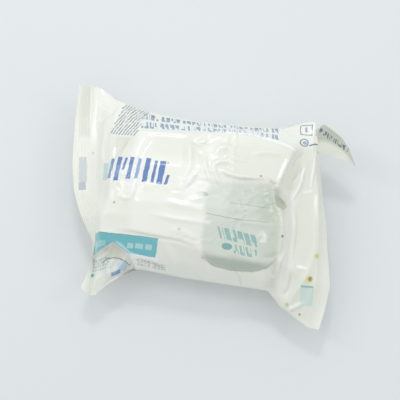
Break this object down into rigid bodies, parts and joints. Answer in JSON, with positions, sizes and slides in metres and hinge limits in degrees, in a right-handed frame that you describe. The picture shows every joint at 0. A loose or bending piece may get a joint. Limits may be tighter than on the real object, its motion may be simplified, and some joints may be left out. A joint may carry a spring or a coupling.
{
  "type": "film-wrapped water filter cartridge",
  "caption": "Water pitcher filter cartridge sealed in a crumpled pearl-white film wrap, with crimped end seals and one corner folded over.",
  "frame": {"origin": "a point near the middle of the flat of the back that the wrap lies on", "axes": "+X along the film tube to the end with the folded corner, +Y across it, +Z out of the printed front"},
  "size_m": [0.1999, 0.155, 0.061],
  "materials": {
    "film": "glossy pearl-white packaging film with printed areas"
  },
  "bodies": {
    "root": {"sealed_pouch": "film"}
  },
  "joints": []
}
